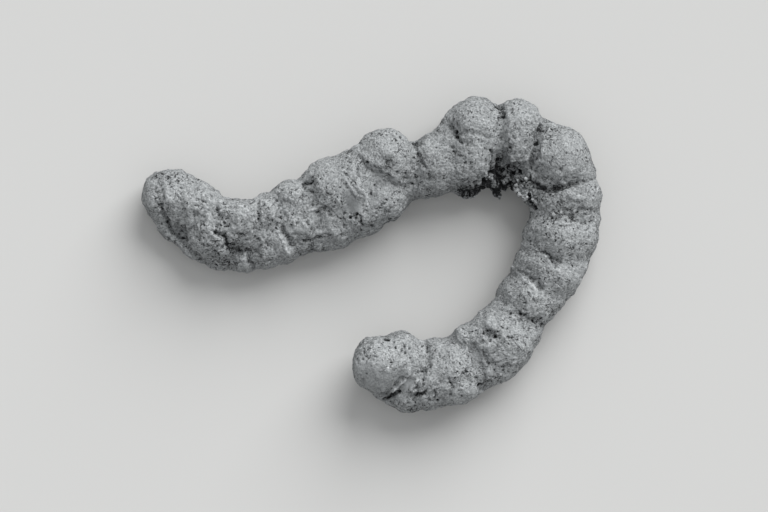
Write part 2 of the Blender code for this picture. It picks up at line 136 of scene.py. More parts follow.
# Single pits that show one by one, by depth.
HOLES = (
    Spot(-10.2, 3.9, 0.15, 0.125), Spot(-9.85, 3.95, 0.125, 0.1), Spot(-7.7, 2.25, 0.13, 0.15),
    Spot(-7.35, 1.6, 0.13, 0.15), Spot(-7.85, 1.1, 0.13, 0.15), Spot(-7.3, 0.8, 0.15, 0.15),
    Spot(-7.15, 0.45, 0.17, 0.15), Spot(-6.25, 0.25, 0.17, 0.15), Spot(-6.8, -0.4, 0.15, 0.1),
    Spot(-3.325, 3.4, 0.1, 0.125), Spot(-3.025, 3.175, 0.11, 0.175), Spot(-2.95, 2.5, 0.12, 0.1),
    Spot(-2.75, 2.125, 0.11, 0.15), Spot(-3.225, 1.65, 0.11, 0.15), Spot(-3.75, 1.6, 0.11, 0.125),
    Spot(-2.6, 1.3, 0.12, 0.125), Spot(-1.3, 3.55, 0.11, 0.125), Spot(-1.275, 3.35, 0.1, 0.1),
    Spot(-0.75, 2.05, 0.11, 0.25), Spot(-1.075, 1.875, 0.11, 0.225), Spot(-0.825, 1.85, 0.09, 0.125),
    Spot(-1.35, 2.1, 0.09, 0.1), Spot(-1.2, 2.5, 0.09, 0.05), Spot(-1.35, 1.45, 0.15, 0.1),
    Spot(0, 1.45, 0.15, 0.1), Spot(-0.125, 4.65, 0.12, 0.225), Spot(0.725, 2.75, 0.095, 0.15),
    Spot(0.625, 2.55, 0.095, 0.15), Spot(-0.725, 4.275, 0.1, 0.125), Spot(0, 4.225, 0.1, 0.1),
    Spot(1.3, 3.7, 0.1, 0.125), Spot(1.7, 4.05, 0.1, 0.125), Spot(2, 3.55, 0.1, 0.125),
    Spot(0.925, 1.65, 0.1, 0.1), Spot(0, 2.3, 0.15, 0.06), Spot(-6.75, 0.25, 0.1, 0.125),
    Spot(-6.5, 0.15, 0.1, 0.125), Spot(-6.95, 0.55, 0.09, 0.125), Spot(4, 6.35, 0.11, 0.2),
    Spot(4.2, 6.135, 0.13, 0.3), Spot(4.225, 5.89, 0.115, 0.275), Spot(4.425, 5.6, 0.1, 0.15),
    Spot(6.23, 7.43, 0.12, 0.275), Spot(6.475, 6.925, 0.12, 0.25), Spot(6.575, 7.075, 0.1, 0.175),
    Spot(5.92, 5.2, 0.095, 0.275), Spot(6.275, 4.95, 0.1, 0.15), Spot(6.45, 4.775, 0.095, 0.2),
    Spot(8.2, 5.55, 0.115, 0.225), Spot(6.435, 5.8, 0.095, 0.15), Spot(6.8, 5.7, 0.09, 0.125),
    Spot(6.425, 6.025, 0.09, 0.125), Spot(6.825, 5.35, 0.09, 0.125), Spot(9.4, 4.25, 0.15, 0.09),
    Spot(9.5, 4.4, 0.08, 0.1), Spot(5.125, 3.6, 0.095, 0.225), Spot(6.575, 4.275, 0.1, 0.15),
    Spot(7.1, 4.05, 0.09, 0.15), Spot(4.825, 5.05, 0.09, 0.1), Spot(4.675, 4.6, 0.09, 0.125),
    Spot(4.925, 4.25, 0.09, 0.1), Spot(4.35, 4.95, 0.09, 0.1), Spot(9.6, 2, 0.11, 0.175),
    Spot(8.05, -2.2, 0.12, 0.15), Spot(7.65, -2.4, 0.12, 0.15), Spot(6.9, -2.9, 0.13, 0.175),
    Spot(7.4, -2.95, 0.13, 0.175), Spot(8.05, -3.3, 0.12, 0.175), Spot(8.25, -3.6, 0.12, 0.15),
    Spot(5.7, -3.75, 0.12, 0.15), Spot(6.05, -4.05, 0.12, 0.175), Spot(5.85, -4.25, 0.12, 0.15),
    Spot(5.4, -6.5, 0.18, 0.25), Spot(3.9, -7, 0.1, 0.15), Spot(3.3, -7.275, 0.1, 0.225),
    Spot(2.85, -7.25, 0.095, 0.15), Spot(1.625, -4.55, 0.1, 0.15), Spot(1.875, -4.65, 0.09, 0.125),
    Spot(1.475, -4.775, 0.09, 0.125), Spot(1.65, -4.9, 0.1, 0.15), Spot(1.95, -5.125, 0.1, 0.125),
    Spot(0.9, -4.625, 0.095, 0.125), Spot(1.1, -4.35, 0.1, 0.1), Spot(-0.4, -4.85, 0.11, 0.125),
    Spot(-0.3, -5.025, 0.1, 0.125), Spot(-0.475, -5.175, 0.1, 0.1), Spot(-0.175, -5.15, 0.095, 0.1),
    Spot(0.975, -5.35, 0.085, 0.1), Spot(2.55, -6.25, 0.1, 0.15), Spot(2.575, -6.45, 0.1, 0.15),
    Spot(2.85, -5.6, 0.1, 0.125), Spot(2.75, -4.75, 0.1, 0.125), Spot(3.15, -4.75, 0.09, 0.1),
    Spot(-0.275, -5.925, 0.08, 0.08), Spot(1.85, -7.35, 0.09, 0.1), Spot(0.95, -7.35, 0.09, 0.1),
    Spot(9.7, 1.9, 0.1, 0.125), Spot(10, 1.75, 0.09, 0.125), Spot(10.25, 2.15, 0.1, 0.125),
    Spot(10.4, 1.6, 0.09, 0.125), Spot(10.6, 2.05, 0.09, 0.1), Spot(10.3, 1.35, 0.09, 0.1),
    Spot(10.9, 1.85, 0.1, 0.1), Spot(8.55, 6.2, 0.1, 0.125), Spot(8.75, 6.35, 0.09, 0.1),
    Spot(8.3, 5.2, 0.09, 0.125), Spot(8.2, 4.8, 0.09, 0.125), Spot(5.55, -3.9, 0.1, 0.125),
    Spot(6.35, -4.15, 0.1, 0.125), Spot(6.2, -3.8, 0.09, 0.1), Spot(0.2, 4.45, 0.1, 0.125),
    Spot(0.45, 4.15, 0.09, 0.1), Spot(1, 4, 0.1, 0.125), Spot(0.75, 4.35, 0.08, 0.1),
    Spot(1.25, 4.15, 0.09, 0.125), Spot(5.525, -4.9, 0.09, 0.15), Spot(5.825, -5.45, 0.095, 0.2),
    Spot(5.55, -5.725, 0.095, 0.175), Spot(4.85, -4.85, 0.09, 0.125), Spot(5.05, -5.4, 0.09, 0.1),
)
# Lumps on the lobes, by height, and dents where it is below 0.
KNOBS = (
    Spot(-9.1, 2.5, 0.6, 0.075), Spot(-8.35, 1.35, 0.6, 0.075), Spot(-8.6, 0.5, 0.45, 0.075),
    Spot(-6.45, 2.05, 0.65, 0.1), Spot(-6.4, -0.3, 0.5, 0.125), Spot(-5, 2.15, 0.5, 0.1),
    Spot(-5.1, 0.85, 0.5, 0.1), Spot(-3.85, 2.95, 0.6, 0.1), Spot(-3.45, 1.35, 0.55, 0.075),
    Spot(-2.1, 1.65, 0.45, 0.075), Spot(-1.9, 3.85, 0.7, 0.075), Spot(0.7, 3.15, 0.6, 0.075),
    Spot(0.8, 5.25, 0.8, 0.075), Spot(3.25, 4.5, 0.8, 0.075), Spot(3.9, 5.25, 0.45, 0.05),
    Spot(4.9, 6.85, 0.75, 0.075), Spot(5.3, 5, 0.75, 0.1), Spot(7.4, 6.85, 0.65, 0.075),
    Spot(10, 5.35, 0.85, 0.075), Spot(10, 2.9, 0.7, 0.075), Spot(8.8, 2.5, 0.5, 0.075),
    Spot(9.5, 0.75, 0.85, 0.1), Spot(8.1, -0.35, 0.5, 0.1), Spot(10, -1.05, 0.7, 0.075),
    Spot(7.75, -1.85, 0.65, 0.1), Spot(9.2, -2.45, 0.55, 0.075), Spot(7.1, -3.8, 0.5, 0.125),
    Spot(7.5, -4.75, 0.8, 0.075), Spot(5.85, -3.3, 0.4, 0.1), Spot(4.95, -4.25, 0.45, 0.1),
    Spot(5.75, -5.8, 0.35, 0.1), Spot(4, -5.65, 0.85, 0.075), Spot(3.25, -4.75, 0.5, 0.05),
    Spot(0.8, -5.65, 0.13, 0.125), Spot(0.675, -5.75, 0.1, 0.075), Spot(1.3, -4.75, 0.5, 0.075),
    Spot(2.1, -6.75, 0.2, 0.1), Spot(1.8, -7.35, 0.45, 0.075), Spot(-3.1, 1, 0.15, 0.06),
    Spot(6.6, 7.2, 0.09, 0.125), Spot(6.35, 7, 0.09, 0.1), Spot(-9.65, 1.3, 0.4, -0.065),
    Spot(-10.15, 1.65, 0.2, -0.06), Spot(2.05, 5.65, 0.225, -0.175), Spot(5.9, -3.9, 0.35, -0.15),
)
# Faces worn or broken smooth, by how smooth they are.
PLATES = (
    Spot(-0.95, 2.55, 0.45, 1.0), Spot(-1.15, 2.4, 0.35, 0.9), Spot(-0.75, 2.3, 0.35, 1.0),
    Spot(0.2, -6.05, 1.1, 0.55), Spot(-1.1, 2.9, 0.4, 0.9), Spot(-1.3, 3.25, 0.3, 0.7),
    Spot(-0.5, -5.55, 0.6, 0.4), Spot(1, -6.1, 0.6, 0.55), Spot(1.8, -6.45, 0.45, 0.95),
    Spot(-3.5, 1.2, 0.45, 0.5), Spot(0.05, 2.65, 0.25, 0.8), Spot(5.9, -5.85, 0.3, 0.8),
    Spot(1.15, 3.85, 0.25, 0.5), Spot(8.55, 3.55, 0.25, 0.5), Spot(-2.7, 1.1, 0.25, 0.5),
    Spot(5.15, -5, 0.25, 0.5),
)
# Where the rope is rougher than elsewhere, or smoother where the amount is below 0.
ROUGH_PLACES = (
    Spot(-9.1, 1.5, 3, 0.5), Spot(-6.6, 1, 3, 0.6), Spot(-3.6, 1.75, 2.5, 0.4),
    Spot(-1.1, 1.5, 1.5, 0.5), Spot(0.9, 5.25, 1.75, -0.3), Spot(5.15, 6.75, 1.5, -0.3),
    Spot(7.4, 6.75, 1.25, -0.4), Spot(9.9, 5.25, 1.75, -0.6), Spot(9.4, 0.75, 1.75, -0.3),
    Spot(6.65, 3.85, 1.4, 1.0), Spot(7.6, -2.75, 1, 0.7), Spot(6.1, -3.9, 0.9, 0.9),
    Spot(5.15, -5.5, 1, 0.5), Spot(10.15, 2, 1.25, 0.5), Spot(2.65, -7, 1.25, 0.4),
    Spot(0.15, -4.5, 1.1, 0.3), Spot(8.45, 6.15, 0.6, 0.8), Spot(7, 4.65, 1, 0.8),
    Spot(-2.2, 3.85, 1.4, -0.5), Spot(-1.35, 3, 0.7, -0.3), Spot(9.4, 3.35, 1, 0.6),
    Spot(0.7, 4.25, 0.7, 0.8), Spot(5.2, -5.05, 0.7, -0.5),
)
# Where sand and broken stone fill the bend, by how strongly they show.
RUBBLE_PLACES = (
    Spot(6.3, 3.65, 1, 1.4), Spot(7.5, 3.35, 0.85, 1.6), Spot(4.8, 2.95, 0.6, 1.2),
    Spot(5.6, 3.4, 0.65, 1.0), Spot(8.05, 2.75, 0.55, 1.0), Spot(7, 4.25, 0.8, 0.9),
)
# Deep and shaded places, by how dark they are: partly the stone's own dark tone and partly painted shade,
# most of all in the inner bend. These and the pale places are tone alone. They were set and
# corrected by comparing renders with the photo, so they hold some of its own light and shade.
DARK_AND_SHADED_PLACES = (
    Spot(6.25, 4.25, 0.4, 0.6), Spot(5.95, 4.1, 0.3, 0.4), Spot(6.3, 3.9, 0.4, 0.6),
    Spot(6.8, 4.2, 0.65, 0.15), Spot(6.05, 4.3, 0.45, 0.5), Spot(5.75, 3.4, 0.6, 1.0),
    Spot(6.4, 3.35, 0.65, 1.3), Spot(5.15, 3.2, 0.45, 0.7), Spot(4.55, 3.15, 0.45, 0.6),
    Spot(6.95, 3.5, 0.45, 1.0), Spot(7, 2.95, 0.6, 0.5), Spot(6.85, 4.85, 0.9, 0.4),
    Spot(7.3, 4.45, 0.55, 0.2), Spot(6.9, 5.25, 0.5, 0.3), Spot(8.05, 3.75, 0.2, 0.7),
    Spot(7.925, 2.875, 0.175, 1.0), Spot(8.125, 2.45, 0.25, 0.9), Spot(7.75, 2.2, 0.25, 0.5),
    Spot(8.65, 3.35, 0.45, 0.5), Spot(9.3, 3.3, 0.45, 0.45), Spot(9.9, 3.4, 0.4, 0.3),
    Spot(0.6, 2.8, 0.15, 0.2), Spot(5.15, 7.15, 1.2, 0.15), Spot(-10.5, 3.75, 0.9, 0.15),
    Spot(5.8, 3.15, 0.8, 1.2), Spot(4.7, 3.15, 0.7, 0.5), Spot(0.9, -7.05, 0.25, 0.3),
    Spot(2.45, -6.9, 0.2, 0.4), Spot(0.65, -4.2, 0.12, 1.2), Spot(0.8, -4.21, 0.12, 1.2),
    Spot(4.2, 6.05, 0.175, 0.7), Spot(6.5, 6.95, 0.15, 0.6), Spot(6.23, 7.43, 0.12, 0.8),
    Spot(8.2, 5.55, 0.11, 0.8), Spot(-0.75, 2.05, 0.1, 0.8), Spot(-1.075, 1.875, 0.1, 0.8),
    Spot(-3.25, 3.6, 0.15, 0.3), Spot(5.92, 5.2, 0.09, 0.7), Spot(5.6, -6.4, 0.25, 0.5),
    Spot(8.4, 6.2, 0.45, 0.25), Spot(8.1, 5, 0.35, 0.3), Spot(6.1, -3.9, 0.45, 0.4),
    Spot(0.8, 4.55, 0.7, 0.2), Spot(7.25, -1.55, 0.8, 0.2), Spot(0.3, -5.95, 1.1, 0.1),
    Spot(-0.95, 2.55, 0.55, 0.25), Spot(-6.8, 0.35, 0.6, 0.35), Spot(-6.15, -0.2, 0.25, 0.35),
    Spot(5.95, 4.6, 0.25, 0.5), Spot(6.7, 3.9, 0.2, 0.7), Spot(8.15, 3.7, 0.25, 0.6),
    Spot(8.3, 3.45, 0.3, 0.8), Spot(5.75, 3.6, 0.3, 0.45), Spot(3.15, 4.45, 1.3, 0.45),
    Spot(0.95, 4.45, 0.6, 0.35), Spot(-0.1, 1.65, 0.5, 0.5), Spot(8.5, 3.25, 0.35, 0.6),
    Spot(8.8, 2.9, 0.4, 0.35), Spot(10.4, 3.25, 0.7, 0.25), Spot(5.5, -3.9, 0.25, 0.5),
    Spot(8.45, 6.3, 0.3, 0.5), Spot(2.65, 4.75, 0.25, 0.4), Spot(-3, 0.3, 0.45, 0.5),
    Spot(3.85, 3.5, 0.3, 0.5), Spot(6.45, 7.65, 0.25, 0.5), Spot(9.2, 2.6, 1.2, 0.42),
    Spot(8.65, 1.15, 1.4, 0.22), Spot(8, -0.15, 1.2, 0.35), Spot(9.05, -0.3, 0.45, 0.45),
    Spot(7.5, -2.85, 0.45, 0.45), Spot(8.3, 3.75, 0.25, 0.4), Spot(5, 4.05, 0.7, 0.15),
    Spot(6.4, 6.55, 0.5, 0.2), Spot(-5.1, 0.6, 1.1, 0.15), Spot(0, 4.45, 0.6, 0.15),
    Spot(7.4, -1.65, 0.8, 0.15), Spot(-4.8, 2.15, 0.7, 0.12), Spot(0.8, 3.95, 0.7, 0.12),
    Spot(7.65, 5.05, 0.25, 0.5), Spot(5.9, 5.175, 0.25, 0.4), Spot(5.65, 5.25, 0.25, 0.25),
    Spot(8.4, 6.15, 0.25, 0.3), Spot(1.6, -4.625, 0.25, 0.35), Spot(-7.8, 1.75, 0.3, 0.4),
    Spot(-7.25, 0.05, 0.3, 0.35), Spot(-3.35, 1.85, 0.25, 0.35), Spot(8.35, 2.75, 0.2, 0.35),
    Spot(5.05, -5.05, 0.25, 0.35),
)
# Worn and lit places, by how pale they are: partly the stone's own pale wear and partly painted light.
PALE_AND_LIT_PLACES = (
    Spot(6.6, -5.55, 1, 0.45), Spot(4.15, -6.75, 0.9, 0.22), Spot(0.6, -4.75, 1, 0.22),
    Spot(-0.7, -5.55, 0.7, 0.15), Spot(1.8, -6.45, 0.3, 0.7), Spot(5.725, 3.95, 0.175, 1.2),
    Spot(6.05, 3.85, 0.13, 1.0), Spot(7.65, 3.25, 0.4, 0.6), Spot(7.6, 2.9, 0.3, 0.5),
    Spot(6.2, 3.55, 0.2, 0.5), Spot(7.4, 4.2, 0.2, 0.5), Spot(-10.1, 3, 0.6, 0.3),
    Spot(-9.1, 1.75, 0.35, 0.3), Spot(-8.15, 0.25, 0.4, 0.25), Spot(4.75, 2.975, 0.3, 0.9),
    Spot(7.6, 3.6, 0.3, 0.5), Spot(7.45, 3.1, 0.45, 0.3), Spot(8.175, 2.95, 0.13, 0.5),
    Spot(8.8, 4, 0.7, 0.12), Spot(-10, 2.75, 0.8, 0.1), Spot(-0.55, 3.3, 0.2, 0.45),
    Spot(-0.3, 2.95, 0.225, 0.55), Spot(-0.25, 2.5, 0.2, 0.4), Spot(-2.8, 2.35, 0.2, 0.2),
    Spot(1.8, -5.7, 0.45, 0.5), Spot(2.4, -4.75, 0.4, 0.4), Spot(4.65, -6.5, 0.5, 0.4),
    Spot(-2.55, 2.8, 0.3, 0.5), Spot(2.15, 4.35, 0.4, 0.4), Spot(8.65, -3, 0.4, 0.7),
    Spot(-1.1, 3.4, 0.2, 0.5), Spot(0.8, -5.675, 0.2, 1.1), Spot(6.7, 6.85, 0.35, 0.35),
    Spot(6.65, 6.25, 0.45, 0.35), Spot(6.6, 5.65, 0.4, 0.35), Spot(6.35, 5.3, 0.4, 0.3),
    Spot(6.3, 4.95, 0.25, 0.25), Spot(7.9, 5, 0.2, 0.4), Spot(8.4, 5.7, 0.2, 0.35),
    Spot(1.2, -5, 0.25, 0.3), Spot(1.5, -5.35, 0.3, 0.45), Spot(1.825, -5.85, 0.25, 0.45),
    Spot(0.05, -4.8, 0.3, 0.35), Spot(2.1, -6.4, 0.25, 0.35), Spot(0.6, -6.75, 0.2, 0.4),
    Spot(1.45, -6.15, 0.2, 0.35), Spot(-0.85, -4.85, 0.2, 0.3), Spot(0.55, 3.95, 0.35, 0.45),
    Spot(-0.6, 4.55, 0.3, 0.4), Spot(0.95, 3.65, 0.3, 0.35), Spot(2.4, 4.1, 0.35, 0.45),
    Spot(-2.15, 2.65, 0.4, 0.45), Spot(2.9, -4.8, 0.3, 0.45), Spot(2.15, -6, 0.35, 0.35),
    Spot(4.85, -6.8, 0.35, 0.4), Spot(-9.65, 2.15, 0.45, 0.4),
)
# Grains stuck in the inner bend: x, y, height, half length, half width, turn.
GRAINS = (
    (5.65, 3.95, 2.2, 0.2, 0.12, 10), (6, 3.85, 2.1, 0.12, 0.11, 30),
    (4.5, 2.975, 1.3, 0.15, 0.09, 150), (4.775, 2.925, 1.35, 0.17, 0.09, 175),
    (5.075, 2.95, 1.4, 0.17, 0.09, 15), (4.6, 3.1, 1.5, 0.2, 0.1, 170),
    (6.35, 3.5, 1.45, 0.15, 0.25, 10), (6.375, 2.95, 1.15, 0.09, 0.225, 8),
    (6.05, 3.3, 1.35, 0.17, 0.12, 60), (6.7, 3.4, 1.4, 0.17, 0.12, 20),
    (7.425, 3.9, 2.25, 0.11, 0.12, 0), (7.675, 3.75, 2.45, 0.1, 0.23, 15),
    (7.5, 3.5, 2.35, 0.1, 0.15, 160), (7.25, 3.4, 2.05, 0.13, 0.11, 30),
    (7.75, 3.3, 2.3, 0.15, 0.13, 40), (7.35, 3.05, 1.95, 0.18, 0.13, 40),
    (7.7, 2.9, 2.05, 0.17, 0.23, 30), (8.175, 3.05, 2.2, 0.075, 0.17, 10),
    (8.275, 2.85, 2.15, 0.065, 0.15, 170), (8.075, 2.6, 1.95, 0.13, 0.08, 20),
    (7, 3.3, 1.6, 0.12, 0.09, 60), (7.95, 2.35, 1.65, 0.06, 0.23, 0), (8.6, 3.4, 2.35, 0.12, 0.07, 10),
    (5.25, 3.4, 1.8, 0.09, 0.07, 0),
)
# Each grain is rolled by this much more than the one before it, in radians.
GRAIN_ROLL = 0.9
# A grain is a block whose sides are this many times its half length and half width, made uneven by a noise
# this high and with this many waves in a millimetre.
GRAIN_SIDE = 1.7
GRAIN_UNEVENNESS = 0.06
GRAIN_WAVES = 7.0

# The skin: corners of the solid that are closer than this are one, and its facets are rounded off this many
# times. It is remeshed before the grains are stuck on and again after: the size of its faces each time and
# how many times over it is smoothed.
CORNER_REACH = 0.0005
FACET_ROUNDING = 1
FIRST_VOXEL = 0.085
FIRST_SMOOTHING = 12
LAST_VOXEL = 0.064
LAST_SMOOTHING = 1
# It ends with this many triangles.
FINEST_TRIANGLES = 196000

# Where the noise fields begin, and the seed that makes the grains and the rubble the same in every run.
SEED_OFFSET = Vector((4.7, 2.3, 8.1))
RUBBLE_SEED = 4

# How far the named marks wander from their straight runs, the distance over which they do, and where in the
# noise the wandering along x and y begins.
WANDER = 0.05
WANDER_SPACING = 0.35
WANDER_SHIFTS = (1.0, 5.0)
# Marks fade out on the sides. They are whole where the skin's normal rises by more than 1 / this.
MARK_FALLOFF = 3.0
# A plate is whole as far as its fade is above 1 / this, and it takes this share of the lumps away.
PLATE_FLATNESS = 2.0
PLATE_SMOOTHING = 0.85
# The smallest and largest share of the lumps' height that rough and smooth places leave.
ROUGHNESS_LIMITS = (0.3, 2.2)

# Loose lumps over the whole skin: the distance between them and their height, and how far apart in the
# noise one layer of them begins from the next.
LUMPS = ((0.9, 0.022), (0.42, 0.026), (0.2, 0.028))
LUMP_SHIFT = 3.0

# Pits over the whole skin: the distance between them, their half width as a share of it and their depth.
PIT_SPACING = 0.4
PIT_SHARE = 0.32
PIT_DEPTH = 0.12
# How far the pits are pulled out of round, as a share of their distance, and over what distance.
PIT_JITTER = 0.35
PIT_JITTER_SPACING = 0.22
PIT_JITTER_SHIFTS = (11.0, 13.0, 17.0)
# The pits come in clusters: the distance between the clusters and where in the noise they begin, how they
# stand out, what roughness adds, what all pits lose and how far the deepest go.
CLUSTER_SPACING = 1.6
CLUSTER_SHIFT = 9.0
CLUSTER_CONTRAST = 1.2
CLUSTER_ROUGHNESS = 0.7
CLUSTER_LOSS = 0.2
DEEPEST_CLUSTER = 1.3

# The rubble's blocks: the distance between them, their height, the depth of the gaps and the gaps' width
# as a share of the distance.
RUBBLE_SPACING = 0.33
RUBBLE_HEIGHT = 0.075
RUBBLE_GAP = 0.14
GAP_SHARE = 0.2
# How much the blocks differ in height and in tilt, and the strides at which they read the noise for both.
BLOCK_STEP = 2.0
BLOCK_TILT = 2.5
STEP_STRIDE = 5.3
TILT_STRIDE = 3.7

# A hollow is as deep as the skin lies beneath its own average over near and wide surroundings: how often
# each average is taken, the depth at which it counts in full, and how much the wide one counts.
NEAR_BLUR = 8
NEAR_DEPTH = 0.07
WIDE_BLUR = 60
WIDE_DEPTH = 0.2
WIDE_SHARE = 0.8

# How dark the named dark and shaded places may get together, and how much painted shade a hole and a crease
# get for each millimetre of depth.
DARKEST = 1.35
HOLE_PAINTED_SHADE = 3.0
CREASE_PAINTED_SHADE = 1.3
# How much paler a ridge's crest is painted, as a painted highlight, for each millimetre of its height.
RIDGE_PAINTED_HIGHLIGHT = 2.0
# How dark the rubble's gaps are, and how much its blocks differ in tone.
GAP_DARKNESS = 0.3
BLOCK_CONTRAST = 0.9
# Painted shade on the sides: how dark they are painted, and how steep they are before they show it.
SIDE_PAINTED_SHADE = 0.35
SIDE_FALLOFF = 1.5

# The phosphate from its darkest to its palest.
DARK = (0.018, 0.019, 0.020, 1.0)
MIDDLE = (0.314, 0.327, 0.332, 1.0)
PALE = (0.645, 0.668, 0.677, 1.0)
# The tone that is the middle colour, where 0 is the darkest and 1 is the palest.
MIDDLE_TONE = 0.5
STONE_ROUGHNESS = 0.85
STONE_SPECULAR = 0.25
# The clouds in the phosphate: the size of their forms, their detail and how rough it is. Their values lie
# around CLOUD_MIDDLE.
CROWD_CLOUD = (1.4, 3.0, 0.6)
PORE_CLOUD = (0.16, 2.0, 0.55)
SPECK_CLOUD = (0.09, 1.0, 0.5)
SEAM_CLOUD = (0.55, 2.5, 0.55)
SEAM_GAP_CLOUD = (0.6, 1.0, 0.6)
FINE_CLOUD = (0.1, 3.0, 0.6)
PATCH_CLOUD = (1.7, 3.0, 0.6)
CLOUD_MIDDLE = 0.5
# How each is turned into another value: from low, from high, to low, to high.
CROWD_RAMP = (0.35, 0.65, -0.085, 0.06)
ROUGH_RAMP = (*ROUGHNESS_LIMITS, -0.05, 0.05)
PORE_RAMP = (0.37, 0.30, 0.0, 1.0)
SPECK_RAMP = (0.36, 0.28, 0.0, 1.0)
SEAM_RAMP = (0.0, 0.022, 1.0, 0.0)
SEAM_GAP_RAMP = (0.52, 0.64, 0.0, 0.8)
GRAIN_RAMP = (0.0, 1.0, 1.0, 0.2)
# How much a hollow crowds the pores, and how dark a speck is beside a pore.
HOLLOW_CROWDING = 0.03
SPECK_DARKNESS = 0.6
# The tone of plain phosphate between dark and pale, and what each layer adds to it. The hollow layer is
# painted shade in hollows and painted highlight on edges and bumps; the shade layer carries the marks'
# painted shade and light.
PLAIN_TONE = 0.52
HOLLOW_SHADE_AND_EDGE_HIGHLIGHT = -0.14
FINE_WEIGHT = 1.3
PATCH_WEIGHT = 0.16
PORE_WEIGHT = -0.48
SHADE_WEIGHT = -0.44
# The finest relief, as height, and how deep a pore is beside the grain.
RELIEF = 0.1
RELIEF_PORES = -0.8

FLOOR_SIZE = 600.0
FLOOR_COLOUR = (0.62, 0.62, 0.61, 1.0)
FLOOR_ROUGHNESS = 0.9

# The key light: where it stands, its strength and the width of its disc. The sky lights the rest evenly.
KEY_AZIMUTH = 60
KEY_HEIGHT = 33
KEY_STRENGTH = 3.3
KEY_SOFTNESS = 50
SKY = (0.50, 0.505, 0.51, 1.0)

# The photo's frame: its width and the point in its middle. The long lens keeps the view nearly flat.
VIEW_WIDTH = 38.4
VIEW_CENTRE = (0.6, -0.05, 1.8)
LENS = 400
SENSOR = 36
# The nearest and farthest that the camera sees, in metres.
VIEW_START = 0.01
VIEW_END = 5.0


def add_object(name, data):
    """Puts the data into the scene as an object of its own."""
    item = bpy.data.objects.new(name, data)
    bpy.context.scene.collection.objects.link(item)
    return item


def read(items, field):
    """Returns a field of three numbers of every item, as rows."""
    rows = np.empty(len(items) * 3)
    items.foreach_get(field, rows)
    return rows.reshape(-1, 3)


def note(data, name, values):
    """Writes a number for every vertex, for the material to read."""
    layer = data.attributes.new(name, "FLOAT", "POINT")
    layer.data.foreach_set("value", values.astype(np.float32))


def distance_to_path(spots, path):
    """Returns how far each x, y spot lies from a path of straight runs."""
    nearest = np.full(len(spots), np.inf)
    for start, end in zip(path[:-1], path[1:]):
        start = np.array(start, dtype=float)
        run = np.array(end, dtype=float) - start
        along = np.clip((spots - start) @ run / (run @ run), 0.0, 1.0)
        nearest = np.minimum(nearest, np.linalg.norm(spots - start - along[:, None] * run, axis=1))
    return nearest


def fade(distance, reach):
    """Falls smoothly from 1 at no distance to 0 at the reach."""
    share = np.clip(1.0 - (distance / reach) ** 2, 0.0, 1.0)
    return share * share


def fade_from(spots, place):
    """Falls smoothly from 1 at the middle of a round place to 0 at its edge, for every x, y spot."""
    return fade(np.hypot(spots[:, 0] - place.x, spots[:, 1] - place.y), place.reach)


def from_spots(spots, places):
    """Adds up what every round place does at every x, y spot."""
    total = np.zeros(len(spots))
    for place in places:
        total += place.amount * fade_from(spots, place)
    return total


def from_lines(spots, lines):
    """Takes the strongest line at every x, y spot."""
    strongest = np.zeros(len(spots))
    for line in lines:
        near = fade(distance_to_path(spots, line.points), line.reach)
        strongest = np.maximum(strongest, line.amount * near)
    return strongest


def waves(points, spacing, shift):
    """Returns soft random waves between about -1 and 1, one number for each point."""
    start = SEED_OFFSET + Vector((shift, shift, shift))
    return 2.0 * np.array([noise.noise(Vector(point) / spacing + start) for point in points])


def blur(rows, data, passes):
    """Averages each row with those of the vertices next to it, as many times as asked."""
    edges = np.empty(len(data.edges) * 2, dtype=np.int64)
    data.edges.foreach_get("vertices", edges)
    ends = np.concatenate((edges.reshape(-1, 2), edges.reshape(-1, 2)[:, ::-1]))
    count = np.bincount(ends[:, 0], minlength=len(rows))[:, None]
    for _ in range(passes):
        sums = [np.bincount(ends[:, 0], column[ends[:, 1]], len(rows)) for column in rows.T]
        rows = 0.5 * rows + 0.5 * np.stack(sums, axis=1) / count
    return rows


def apply_modifiers(piece):
    """Gives the piece the mesh that its modifiers make of it."""
    graph = bpy.context.evaluated_depsgraph_get()
    worn = piece.data
    baked = bpy.data.meshes.new_from_object(piece.evaluated_get(graph))
    piece.modifiers.clear()
    piece.data = baked
    bpy.data.meshes.remove(worn)


def copy_of_solid(node):
    """Returns the solid as a loose mesh in millimetres, with its corners joined."""
    data = bpy.data.meshes.new("coprolite_skin")
    mesh = bmesh.new()
    mesh.from_mesh(node.data)
    bmesh.ops.scale(mesh, vec=(1 / MM, 1 / MM, 1 / MM), verts=mesh.verts)
    bmesh.ops.remove_doubles(mesh, verts=mesh.verts, dist=CORNER_REACH)
    mesh.to_mesh(data)
    mesh.free()
    return add_object("coprolite_skin", data)


def round_facets(piece):
    """Rounds the solid's facets off."""
    rounding = piece.modifiers.new("round_off", "SUBSURF")
    rounding.levels = FACET_ROUNDING
    rounding.render_levels = FACET_ROUNDING


def remesh(piece, voxel, smoothing):
    """Gives the piece an even skin of small faces."""
    skin = piece.modifiers.new("skin", "REMESH")
    skin.mode = "VOXEL"
    skin.voxel_size = voxel
    soften = piece.modifiers.new("soften", "SMOOTH")
    soften.factor = 0.5
    soften.iterations = smoothing
    apply_modifiers(piece)


def thin_out(piece):
    """Takes triangles away where the skin is flattest."""
    piece.data.calc_loop_triangles()
    fewer = piece.modifiers.new("fewer", "DECIMATE")
    fewer.ratio = min(1.0, FINEST_TRIANGLES / len(piece.data.loop_triangles))
    apply_modifiers(piece)


